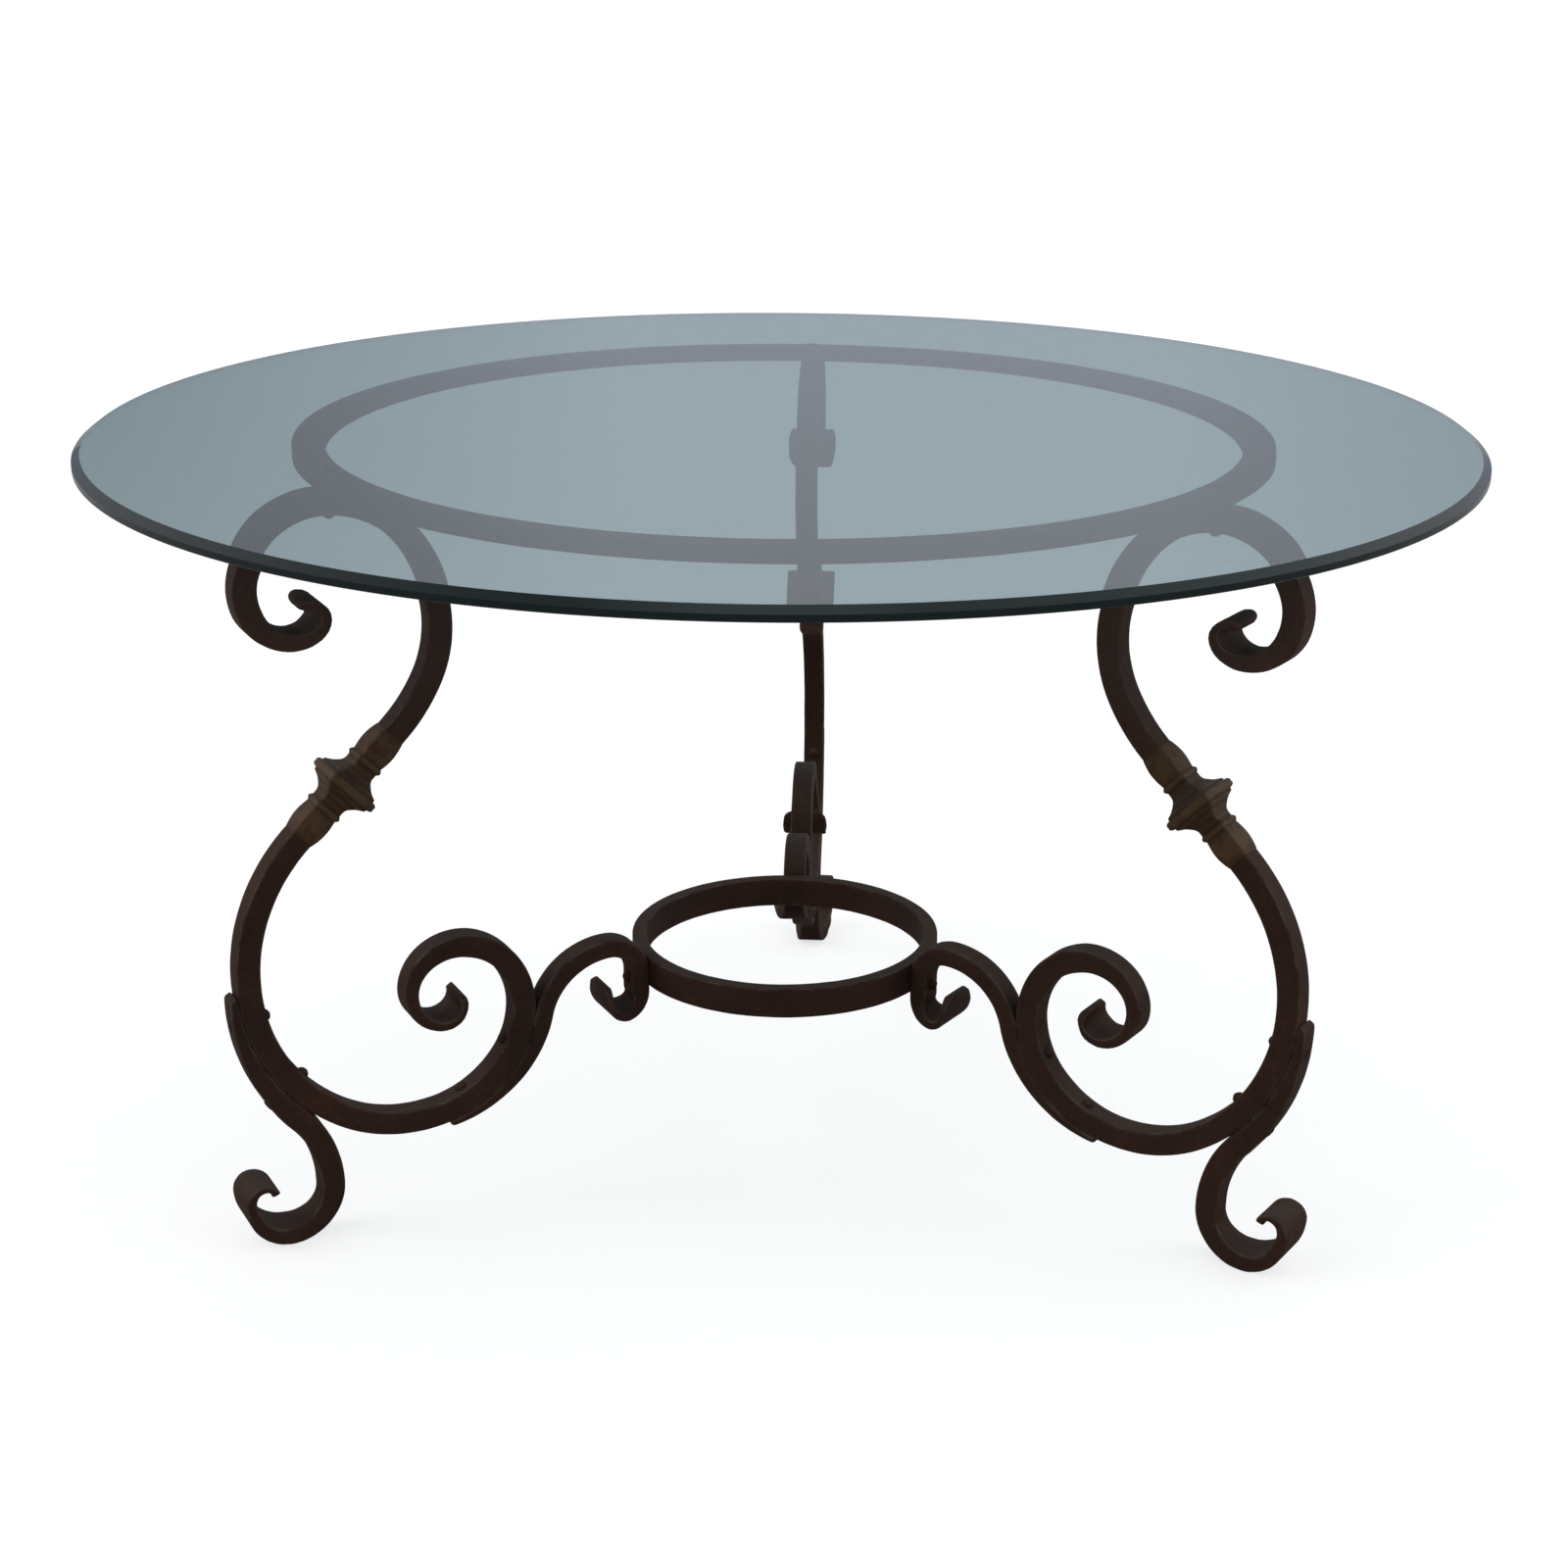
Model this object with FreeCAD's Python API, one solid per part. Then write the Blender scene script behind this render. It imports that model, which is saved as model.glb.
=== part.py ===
import FreeCAD, Part
import math
import os
from FreeCAD import Vector

os.makedirs("parts", exist_ok=True)

# Square bar that the legs are forged from
bar = 24.0

# Main scroll of a leg, followed from the collar down: a straight run, the belly, then a spiral
collar_slope = 43.2
collar_straight = 66.0
belly_radius = 187.0
belly_turn = 104.0
inner_radius = 142.0
inner_shrink = 0.83
inner_plain_steps = 5
inner_taper_steps = 8
spiral_step = 40.0

# Main scroll followed from the collar up: shoulder, arch under the top ring, then a spiral
shoulder_radius = 184.0
shoulder_turn = 18.0
arch_radius = 123.0
arch_turn = 72.0
upper_radius = 106.0
upper_shrink = 0.81
upper_plain_steps = 4
upper_taper_steps = 7

# Hammered tips of the scrolls
tip_thickness = 5.0
tip_width = 46.0
tip_flare = 115.0
tip_corner = 8.0
tip_trim = 6.0
shortest_run = 0.001

# Foot scroll, riveted to the outer side of the belly
foot_lap_start = 51.0
foot_lap_end = 92.0
foot_scarf = 8.0
foot_neck_radius = 125.0
foot_sole_radius = 52.0
foot_toe_radius = 52.0
foot_curl_radius = 18.7
foot_curl_turn = 168.0
foot_sole_thickness = 19.0
foot_toe_thickness = 11.0
foot_toe_width = 47.0
foot_flat = 0.6

# Stretcher scroll, riveted to the inner side of the belly and to the lower ring
stretcher_thickness = 20.0
stretcher_lap_start = 150.0
stretcher_lap_end = 217.0
stretcher_scarf = 6.0
stretcher_rise_radius = 86.0
stretcher_bend_radius = 42.0
stretcher_drop = 17.0
stretcher_curl_radius = 25.8
stretcher_curl_turn = 178.0
stretcher_tip_width = 42.0

# Seats between forged pieces
lap_gap = 0.1
ring_seat = 0.8

# Flat bar of both rings
ring_bar_width = 31.0
ring_bar_thickness = 14.5
lower_ring_outer_radius = 161.0
lower_ring_dip = 2.0
top_ring_inset = 12.0

# Cast collar over the straight run
collar_length = 130.0
collar_neck = 1.2
collar_belly = 1.4
collar_bead = 1.8
collar_bead_length = 7.0
collar_neck_length = 4.5
collar_flange = 56.0
collar_flange_edge = 9.0
collar_step = 4.0
collar_step_length = 2.5
collar_flare_length = 14.0
collar_flare_hollow = 5.0
collar_facets = 4
collar_fit = 0.1

# Rivets
rivet_head_diameter = 12.0
rivet_head_height = 5.0
rivet_head_crown = 0.5
rivet_head_shoulder = 0.4
rivet_sides = 6
rivet_gap = 0.2
foot_rivet_turns = (60.0, 85.0)
stretcher_rivet_turns = (162.0, 201.0)
ring_rivet_lead = 6.5

# Loose glass top on clear bumpers
glass_diameter = 1371.6
glass_thickness = 12.5
glass_bevel_width = 8.0
glass_bevel_height = 6.0
bumper_diameter = 18.0
bumper_thickness = 2.0
bumper_sides = 12

legs = (("back", 90.0), ("left", 210.0), ("right", 330.0))


def run(length):
    return (length, 0.0)


def bend(radius, turn):
    return (radius * math.radians(abs(turn)), math.copysign(1.0 / radius, turn))


def spiral(radius, shrink, count, turn):
    return [bend(radius * shrink**k, turn) for k in range(count)]


def onward(state, length, curve):
    # Point and heading after a run along a straight line or an arc, left turns positive
    x, z, heading = state
    if curve == 0.0:
        return (x + length * math.cos(heading), z + length * math.sin(heading), heading)
    later = heading + length * curve
    return (
        x + (math.sin(later) - math.sin(heading)) / curve,
        z - (math.cos(later) - math.cos(heading)) / curve,
        later,
    )


def walk(state, moves):
    path = []
    for length, curve in moves:
        path.append((state, length, curve))
        state = onward(state, length, curve)
    return path


def end_of(path):
    return onward(*path[-1])


def length_of(path):
    return sum(length for state, length, curve in path)


def spot(path, distance):
    # Point and heading at a distance along a path
    for state, length, curve in path:
        if distance <= length:
            return onward(state, distance, curve)
        distance -= length
    return end_of(path)


def turned(path, degrees):
    # Distance along a path at which it has turned by an angle
    passed = 0.0
    for state, length, curve in path:
        step = math.degrees(length * abs(curve))
        if degrees < step:
            return passed + length * degrees / step
        degrees -= step
        passed += length
    return passed


def stretch(path, first, last):
    # The piece of a path between two distances
    cut = []
    passed = 0.0
    for state, length, curve in path:
        low = max(first - passed, 0.0)
        high = min(last - passed, length)
        if high - low > shortest_run:
            cut.append((onward(state, low, curve), high - low, curve))
        passed += length
    return cut


def aside(state, offset):
    # The state moved sideways, to the left of its heading
    x, z, heading = state
    return (x - offset * math.sin(heading), z + offset * math.cos(heading), heading)


def beside(path, offset):
    # The path that runs alongside at a fixed distance
    return [
        (aside(state, offset), length * (1.0 - offset * curve), curve / (1.0 - offset * curve))
        for state, length, curve in path
    ]


def flat(state, y=0.0):
    return Vector(state[0], y, state[1])


def placed(shape, state):
    # A shape drawn with x along the path and z to its left, put at a state
    spin = FreeCAD.Rotation(Vector(0.0, 1.0, 0.0), -math.degrees(state[2]))
    moved = shape.copy()
    moved.Placement = FreeCAD.Placement(flat(state), spin)
    return moved


def blend(distance, table):
    # Straight interpolation in a short table of (distance, value)
    for (d0, v0), (d1, v1) in zip(table, table[1:]):
        if distance <= d1:
            return v0 + (v1 - v0) * (distance - d0) / (d1 - d0)
    return table[-1][1]


def side_edges(path, share, thickness):
    # Lines and arcs along one side of a bar, at a share of its thickness from the path
    made = []
    passed = 0.0
    for state, length, curve in path:
        points = []
        for along in (0.0, length / 2.0, length):
            offset = share * blend(passed + along, thickness)
            points.append(flat(aside(onward(state, along, curve), offset)))
        made.append(Part.Arc(*points).toShape() if curve else Part.makeLine(points[0], points[2]))
        passed += length
    return made


def outline(path, right, left, thickness):
    # Face of a bar in the plane of the leg, between its two sides
    inner = side_edges(path, right, thickness)
    outer = side_edges(path, left, thickness)
    ends = [
        Part.makeLine(inner[0].firstVertex(True).Point, outer[0].firstVertex(True).Point),
        Part.makeLine(inner[-1].lastVertex(True).Point, outer[-1].lastVertex(True).Point),
    ]
    return Part.Face(Part.Wire(Part.__sortEdges__(inner + outer + ends)))


def thick(face, width):
    # A face of the leg's plane, made as wide as a bar
    solid = face.extrude(Vector(0.0, width, 0.0))
    solid.translate(Vector(0.0, -width / 2.0, 0.0))
    return solid


def corner_cutters(state, width):
    # Waste outside the trimmed corners of a tip, drawn past its end and its sides
    half = width / 2.0
    corners = [Vector(-tip_corner, half), Vector(0.0, half - tip_trim), Vector(tip_corner, half - tip_trim)]
    corners += [Vector(tip_corner, half + tip_corner), Vector(-tip_corner, half + tip_corner)]
    corner = Part.Face(Part.makePolygon(corners + corners[:1])).extrude(Vector(0.0, 0.0, 2.0 * tip_corner))
    corner.translate(Vector(0.0, 0.0, -tip_corner))
    return placed(Part.makeCompound([corner, corner.mirror(Vector(), Vector(0.0, 1.0, 0.0))]), state)


def forged(path, right, left, thickness, flare_start, flare_end, flare_width):
    # Bar along a path, hammered wide in line with a flare, with trimmed corners at its tip
    length = length_of(path)
    first = spot(path, flare_start)
    last = spot(path, flare_end)
    span = math.dist(first[:2], last[:2])
    grow = (flare_width - bar) / span
    flare = (first[0], first[1], math.atan2(last[1] - first[1], last[0] - first[0]))
    tip = aside(end_of(path), (right + left) / 2.0 * tip_thickness)
    tip_reach = (tip[0] - flare[0]) * math.cos(flare[2]) + (tip[1] - flare[1]) * math.sin(flare[2])

    near, far = -bar, span + bar
    corners = []
    for along, side in ((near, -0.5), (far, -0.5), (far, 0.5), (near, 0.5)):
        corners.append(Vector(along, side * (bar + grow * along), -span))
    wedge = Part.Face(Part.makePolygon(corners + corners[:1])).extrude(Vector(0.0, 0.0, 2.0 * span))

    tip_start = flare_start - bar
    later = [(distance - tip_start, value) for distance, value in thickness]
    tip_face = outline(stretch(path, tip_start, length), right, left, later)
    wide = thick(tip_face, flare_width + bar).common(placed(wedge, flare))
    wide = wide.cut(corner_cutters(tip, bar + grow * tip_reach))
    return thick(outline(path, right, left, thickness), bar).fuse(wide).removeSplitter()


def leg_paths(reach, height):
    # Lines that a leg follows, with its collar at a given radius and height
    down = math.radians(-collar_slope)
    lower = walk(
        (reach, height, down),
        [run(collar_straight), bend(belly_radius, -belly_turn)]
        + spiral(inner_radius, inner_shrink, inner_plain_steps + inner_taper_steps, -spiral_step),
    )
    upper = walk(
        (reach, height, down + math.pi),
        [run(collar_straight), bend(shoulder_radius, -shoulder_turn), bend(arch_radius, -arch_turn)]
        + spiral(upper_radius, upper_shrink, upper_plain_steps + upper_taper_steps, -spiral_step),
    )
    seat = beside(lower, bar / 2.0 + lap_gap)
    foot_lap = stretch(seat, turned(seat, foot_lap_start), turned(seat, foot_lap_end))
    foot = foot_lap + walk(
        end_of(foot_lap),
        [
            bend(foot_neck_radius, collar_slope + foot_lap_end - 90.0),
            bend(foot_sole_radius, 90.0),
            bend(foot_toe_radius, 90.0),
            bend(foot_curl_radius, foot_curl_turn),
        ],
    )
    stretcher_lap = stretch(seat, turned(seat, stretcher_lap_start), turned(seat, stretcher_lap_end))
    stretcher = stretcher_lap + walk(
        end_of(stretcher_lap),
        [
            bend(stretcher_rise_radius, collar_slope + stretcher_lap_end - 180.0),
            bend(stretcher_bend_radius, 90.0),
            run(stretcher_drop),
            bend(stretcher_curl_radius, stretcher_curl_turn),
        ],
    )
    return lower, upper, foot, stretcher


def polygon(sides, size, height):
    # Corners of an even outline square to z, measured across its flats
    reach = size / 2.0 / math.cos(math.pi / sides)
    angles = [2.0 * math.pi * (k + 0.5) / sides for k in range(sides)]
    return [Vector(reach * math.cos(a), reach * math.sin(a), height) for a in angles]


def stack(sides, tiers):
    # Solid with flat facets through even outlines of (size, height), from bottom to top
    rings = [polygon(sides, size, height) for size, height in tiers]
    faces = [Part.Face(Part.makePolygon(end + end[:1])) for end in (rings[0], rings[-1])]
    for low, high in zip(rings, rings[1:]):
        for k in range(sides):
            corners = [low[k - 1], low[k], high[k], high[k - 1]]
            faces.append(Part.Face(Part.makePolygon(corners + corners[:1])))
    solid = Part.Solid(Part.Shell(faces))
    solid.fix(shortest_run, shortest_run, shortest_run)
    return solid


def rivet_head(state, face):
    # Round head hammered down on the face of a bar, at an offset to the right of the state
    seat = -face - rivet_gap
    tiers = [
        (rivet_head_crown * rivet_head_diameter, seat - rivet_head_height),
        (rivet_head_diameter, seat - rivet_head_shoulder * rivet_head_height),
        (rivet_head_diameter, seat),
    ]
    return placed(stack(rivet_sides, tiers), state)


def arc_steps(first, last, rise):
    # Points of (size, height) after first on a flat arc to last, bulging by a rise in size
    points = []
    for k in range(1, collar_facets + 1):
        t = k / collar_facets
        bulge = rise * 4.0 * t * (1.0 - t)
        points.append((first[0] + (last[0] - first[0]) * t + bulge, first[1] + (last[1] - first[1]) * t))
    return points


def collar():
    # Cast sleeve along z, square in section, from the middle of its flange to its open end and mirrored
    neck = bar + 2.0 * collar_neck
    step = collar_flange - 2.0 * collar_step
    edge_end = collar_flange_edge / 2.0
    step_end = edge_end + collar_step_length
    flare_end = step_end + collar_flare_length
    bead_start = flare_end + collar_neck_length
    bead_end = bead_start + collar_bead_length
    end = collar_length / 2.0
    tiers = [(collar_flange, 0.0), (collar_flange, edge_end), (step, edge_end), (step, step_end)]
    tiers += arc_steps((step, step_end), (neck, flare_end), -collar_flare_hollow)
    tiers += [(neck, bead_start)]
    tiers += arc_steps((neck, bead_start), (neck, bead_end), 2.0 * collar_bead)
    tiers += arc_steps((neck, bead_end), (neck, end), 2.0 * collar_belly)
    half = stack(4, tiers)
    hole = bar + 2.0 * collar_fit
    half = half.cut(stack(4, [(hole, -collar_length), (hole, collar_length)]))
    return half.fuse(half.mirror(Vector(), Vector(0.0, 0.0, 1.0))).removeSplitter()


def ring(outer_radius, hole_radius, bottom, height):
    base = Vector(0.0, 0.0, bottom)
    return Part.makeCylinder(outer_radius, height, base).cut(Part.makeCylinder(hole_radius, height, base))


def marks(path):
    # Distances along a path at which its runs begin and end
    return [length_of(path[:k]) for k in range(len(path) + 1)]


def around(shape):
    # The shape once for each leg
    copies = []
    for name, azimuth in legs:
        turned_copy = shape.copy()
        turned_copy.rotate(Vector(), Vector(0.0, 0.0, 1.0), azimuth)
        copies.append(turned_copy)
    return copies


# The foot's sole sets a leg's height, and the stretcher's drop against the lower ring sets its radius
lower, upper, foot, stretcher = leg_paths(0.0, 0.0)
sole = foot[-2][0]
drop = stretcher[-2][0]
collar_reach = lower_ring_outer_radius + lap_gap - drop[0]
collar_height = -sole[1] - foot_flat
lower, upper, foot, stretcher = leg_paths(collar_reach, collar_height)

# Levels and radii that follow from the leg
crest = spot(upper, turned(upper, 180.0 - collar_slope))
ring_bottom = crest[1] + bar / 2.0 - ring_seat
ring_top = ring_bottom + ring_bar_thickness
top_ring_radius = crest[0] - top_ring_inset
drop = stretcher[-2][0]
lower_ring_bottom = drop[1] - lower_ring_dip - ring_bar_width / 2.0
glass_bottom = ring_top + bumper_thickness
glass_top = glass_bottom + glass_thickness

# Thickness of the bars along their paths
lower_marks = marks(lower)
lower_thickness = ((0.0, bar), (lower_marks[-1 - inner_taper_steps], bar), (lower_marks[-1], tip_thickness))
upper_marks = marks(upper)
upper_thickness = ((0.0, bar), (upper_marks[-1 - upper_taper_steps], bar), (upper_marks[-1], tip_thickness))
foot_start, foot_lap, neck_end, sole_end, toe_end, foot_end = marks(foot)
foot_thickness = (
    (foot_start, foot_scarf),
    (foot_lap, bar),
    (neck_end, bar),
    (sole_end, foot_sole_thickness),
    (toe_end, foot_toe_thickness),
    (foot_end, tip_thickness),
)
stretcher_marks = marks(stretcher)
stretcher_steps = (
    (0.0, stretcher_scarf),
    (stretcher_marks[-5], stretcher_thickness),
    (stretcher_marks[-2], stretcher_thickness),
    (stretcher_marks[-1], tip_thickness),
)

# Forged bars of one leg, in the plane of y = 0
leg_scroll = forged(
    lower, -0.5, 0.5, lower_thickness, lower_marks[-1] - tip_flare, lower_marks[-1], tip_width
).fuse(
    forged(upper, -0.5, 0.5, upper_thickness, upper_marks[-1] - tip_flare, upper_marks[-1], tip_width)
)
foot_scroll = forged(foot, 0.0, 1.0, foot_thickness, neck_end, toe_end, foot_toe_width)
stretcher_scroll = forged(
    stretcher, 0.0, 1.0, stretcher_steps, stretcher_marks[-2], stretcher_marks[-1], stretcher_tip_width
)
collar_axis = (collar_reach, collar_height, math.radians(-collar_slope - 90.0))
leg_collar = placed(collar(), collar_axis)

# The arch is filed flat for the ring, and the foot for the floor
block = 2.0 * glass_diameter
leg_scroll = leg_scroll.removeSplitter().cut(
    Part.makeBox(block, block, block, Vector(-block / 2.0, -block / 2.0, ring_bottom))
)
foot_scroll = foot_scroll.cut(Part.makeBox(block, block, block, Vector(-block / 2.0, -block / 2.0, -block)))

# Rings of flat bar, the upper one lying flat and the lower one on edge
half_width = ring_bar_width / 2.0
top_ring = ring(top_ring_radius + half_width, top_ring_radius - half_width, ring_bottom, ring_bar_thickness)
lower_ring = ring(
    lower_ring_outer_radius, lower_ring_outer_radius - ring_bar_thickness, lower_ring_bottom, ring_bar_width
)

# Rivet heads of one leg, on the inner faces of its scrolls
inner_face = bar / 2.0
foot_heads = [rivet_head(spot(lower, turned(lower, turn)), inner_face) for turn in foot_rivet_turns]
stretcher_heads = [rivet_head(spot(lower, turned(lower, turn)), inner_face) for turn in stretcher_rivet_turns]
top_ring_heads = [rivet_head(spot(upper, turned(upper, 180.0 - collar_slope - ring_rivet_lead)), inner_face)]
below_bend = onward(drop, rivet_head_diameter / 2.0 + rivet_gap, 0.0)
upward = (below_bend[0], below_bend[1], below_bend[2] + math.pi)
lower_ring_heads = [rivet_head(upward, stretcher_thickness)]

# Clear bumpers on the ring above the legs, and the loose glass with its polished bevel
bumper = stack(bumper_sides, [(bumper_diameter, ring_top), (bumper_diameter, glass_bottom)])
bumper.translate(Vector(top_ring_radius, 0.0, 0.0))
edge = glass_diameter / 2.0
glass_profile = [
    Vector(0.0, 0.0, glass_bottom),
    Vector(edge, 0.0, glass_bottom),
    Vector(edge, 0.0, glass_top - glass_bevel_height),
    Vector(edge - glass_bevel_width, 0.0, glass_top),
    Vector(0.0, 0.0, glass_top),
]
glass_face = Part.Face(Part.makePolygon(glass_profile + glass_profile[:1]))
glass = glass_face.revolve(Vector(), Vector(0.0, 0.0, 1.0), 360.0)

pieces = {"top_ring": top_ring, "lower_ring": lower_ring, "glass_top": glass}
for piece, shape in (
    ("leg_scroll", leg_scroll),
    ("collar", leg_collar),
    ("foot_scroll", foot_scroll),
    ("stretcher_scroll", stretcher_scroll),
):
    for (name, azimuth), copy in zip(legs, around(shape)):
        pieces[name + "_" + piece] = copy
for group, heads in (
    ("foot_rivets", foot_heads),
    ("stretcher_rivets", stretcher_heads),
    ("top_ring_rivets", top_ring_heads),
    ("lower_ring_rivets", lower_ring_heads),
):
    pieces[group] = Part.makeCompound([copy for head in heads for copy in around(head)])
pieces["glass_bumpers"] = Part.makeCompound(around(bumper))

for name, shape in pieces.items():
    shape.exportStep("parts/" + name + ".step")
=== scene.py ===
import math

import bpy
import bmesh
from mathutils import Matrix, Vector


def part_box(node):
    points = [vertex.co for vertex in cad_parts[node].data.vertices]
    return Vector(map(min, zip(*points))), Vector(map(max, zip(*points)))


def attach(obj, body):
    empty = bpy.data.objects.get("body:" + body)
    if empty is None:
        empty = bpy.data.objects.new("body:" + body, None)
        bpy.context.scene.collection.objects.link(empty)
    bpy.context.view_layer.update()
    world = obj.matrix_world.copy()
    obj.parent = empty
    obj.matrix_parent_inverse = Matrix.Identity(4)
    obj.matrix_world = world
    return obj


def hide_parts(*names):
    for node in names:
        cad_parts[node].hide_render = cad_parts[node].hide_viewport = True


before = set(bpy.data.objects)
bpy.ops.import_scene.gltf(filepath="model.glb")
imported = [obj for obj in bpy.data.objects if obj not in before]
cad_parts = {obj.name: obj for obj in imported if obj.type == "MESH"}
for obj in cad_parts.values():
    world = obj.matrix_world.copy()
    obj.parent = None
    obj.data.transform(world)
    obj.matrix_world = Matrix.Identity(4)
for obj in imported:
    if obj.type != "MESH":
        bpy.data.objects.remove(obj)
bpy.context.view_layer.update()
legAngles = {"back": 90.0, "left": 210.0, "right": 330.0}
mm = 0.001
print("frame loaded:", len(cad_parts), "nodes")


def addObject(name, data):
    made = bpy.data.objects.new(name, data)
    bpy.context.collection.objects.link(made)
    return made


# nodes: a number or colour is set on the socket, another node's socket is linked

def feed(tree, node, inputs):
    for key, value in inputs.items():
        if isinstance(value, bpy.types.NodeSocket):
            tree.links.new(value, node.inputs[key])
        else:
            node.inputs[key].default_value = value


def addNode(tree, kind, inputs=None, **settings):
    made = tree.nodes.new(kind)
    for key, value in settings.items():
        setattr(made, key, value)
    feed(tree, made, inputs or {})
    return made


def addMath(tree, operation, *values, clamp=False):
    made = addNode(tree, "ShaderNodeMath", dict(enumerate(values)), operation=operation, use_clamp=clamp)
    return made.outputs[0]


def plus(tree, first, second):
    return addMath(tree, "ADD", first, second)


def minus(tree, first, second):
    return addMath(tree, "SUBTRACT", first, second)


def times(tree, first, second, clamp=False):
    return addMath(tree, "MULTIPLY", first, second, clamp=clamp)


def addVectorMath(tree, operation, *values):
    slots = (0, "Scale") if operation == "SCALE" else (0, 1)
    made = addNode(tree, "ShaderNodeVectorMath", dict(zip(slots, values)), operation=operation)
    return made.outputs["Value" if operation == "DOT_PRODUCT" else "Vector"]


def addRamp(tree, factor, *stops):
    # stops are (place, value), a straight grey ramp between them
    made = addNode(tree, "ShaderNodeValToRGB", {"Fac": factor})
    points = made.color_ramp.elements
    while len(points) < len(stops):
        points.new(1.0)
    for point, (place, value) in zip(points, stops):
        point.position = place
        point.color = (value, value, value, 1.0)
    return made.outputs["Color"]


def addMix(tree, factor, first, second, blend="MIX"):
    inputs = {0: factor, 6: first, 7: second}  # 6 and 7 are the colours
    return addNode(tree, "ShaderNodeMix", inputs, data_type="RGBA", blend_type=blend).outputs[2]


def addNoise(tree, place, scale, detail, roughness=0.5):
    inputs = {"Vector": place, "Scale": scale, "Detail": detail, "Roughness": roughness}
    return addNode(tree, "ShaderNodeTexNoise", inputs).outputs


def objectPlace(tree):
    return addNode(tree, "ShaderNodeTexCoord").outputs["Object"]


def splitVector(tree, vector):
    return addNode(tree, "ShaderNodeSeparateXYZ", {"Vector": vector}).outputs


def joinVector(tree, **parts):
    return addNode(tree, "ShaderNodeCombineXYZ", parts).outputs["Vector"]


def newGroup(name, kind, inputs, outputs):
    # inputs are (name, socket kind, default), outputs (name, socket kind)
    group = bpy.data.node_groups.new(name, kind)
    for label, socketKind, default in inputs:
        socket = group.interface.new_socket(name=label, in_out="INPUT", socket_type="NodeSocket" + socketKind)
        if default is not None:
            socket.default_value = default
    for label, socketKind in outputs:
        group.interface.new_socket(name=label, in_out="OUTPUT", socket_type="NodeSocket" + socketKind)
    return group, group.nodes.new("NodeGroupInput").outputs, group.nodes.new("NodeGroupOutput").inputs


# shader groups shared by the finishes

hammerLook = {
    "wander": 30.0, "wanderReach": 0.012, "softness": 0.7, "scale": 210.0, "broad": 11.0,
    "pits": ((0.33, 1.0), (0.46, 0.0)),
    "blowHeight": 0.9, "grainHeight": 0.12, "scaleHeight": 0.35, "pitDepth": 0.5,
    "broadShare": 0.65, "scaleShare": 0.35,
}


def makeHammerGroup():
    # hammer blows, mill scale and pits as a height, and a mottle for the colours
    look = hammerLook
    group, given, result = newGroup(
        "hammerMarks", "ShaderNodeTree",
        [("Blows", "Float", 75.0), ("Grain", "Float", 900.0), ("Pits", "Float", 0.5)],
        [("Height", "Float"), ("Mottle", "Float")],
    )
    place = objectPlace(group)
    wander = addNoise(group, place, look["wander"], 3.0)["Color"]
    bent = addVectorMath(group, "ADD", place, addVectorMath(group, "SCALE", wander, look["wanderReach"]))
    blowInputs = {"Vector": bent, "Scale": given["Blows"], "Smoothness": look["softness"]}
    blows = addNode(group, "ShaderNodeTexVoronoi", blowInputs, feature="SMOOTH_F1").outputs["Distance"]
    grain = addNoise(group, place, given["Grain"], 4.0)["Fac"]
    scale = addNoise(group, place, look["scale"], 5.0, 0.65)["Fac"]
    pits = addRamp(group, scale, *look["pits"])
    height = plus(group, times(group, blows, look["blowHeight"]), times(group, grain, look["grainHeight"]))
    height = plus(group, height, times(group, scale, look["scaleHeight"]))
    height = minus(group, height, times(group, pits, times(group, given["Pits"], look["pitDepth"])))
    broad = addNoise(group, place, look["broad"], 6.0, 0.6)["Fac"]
    mottle = plus(group, times(group, broad, look["broadShare"]), times(group, scale, look["scaleShare"]))
    group.links.new(height, result["Height"])
    group.links.new(mottle, result["Mottle"])
    return group


wearLook = {"broken": ((0.38, 0.0), (0.68, 1.0))}


def makeWearGroup():
    # rubbed arrises: the mesh's own edge attribute, broken up by noise
    group, given, result = newGroup(
        "rubbedArris", "ShaderNodeTree",
        [("Amount", "Float", 0.6), ("Breakup", "Float", 45.0)],
        [("Mask", "Float")],
    )
    arris = addNode(group, "ShaderNodeAttribute", attribute_name="arris").outputs["Fac"]
    noise = addNoise(group, objectPlace(group), given["Breakup"], 5.0)["Fac"]
    broken = addRamp(group, noise, *wearLook["broken"])
    mask = times(group, times(group, arris, broken), given["Amount"], clamp=True)
    group.links.new(mask, result["Mask"])
    return group


dustLook = {"lying": ((0.15, 0.0), (0.85, 1.0)), "patches": 60.0, "least": 0.3}


def makeDustGroup():
    # dust and greying on what faces up
    group, given, result = newGroup(
        "settledDust", "ShaderNodeTree", [("Amount", "Float", 0.5)], [("Mask", "Float")]
    )
    facing = addNode(group, "ShaderNodeNewGeometry").outputs["Normal"]
    lying = addRamp(group, splitVector(group, facing)["Z"], *dustLook["lying"])
    noise = addNoise(group, objectPlace(group), dustLook["patches"], 6.0)["Fac"]
    patchy = times(group, lying, plus(group, noise, dustLook["least"]))
    group.links.new(times(group, patchy, given["Amount"], clamp=True), result["Mask"])
    return group


hammerMarks = makeHammerGroup()
rubbedArris = makeWearGroup()
settledDust = makeDustGroup()


def newFinish(name):
    finish = bpy.data.materials.new(name)
    finish.use_nodes = True
    tree = finish.node_tree
    return finish, tree, tree.nodes["Principled BSDF"]


def useGroup(tree, group, **inputs):
    return addNode(tree, "ShaderNodeGroup", inputs, node_tree=group).outputs


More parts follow.
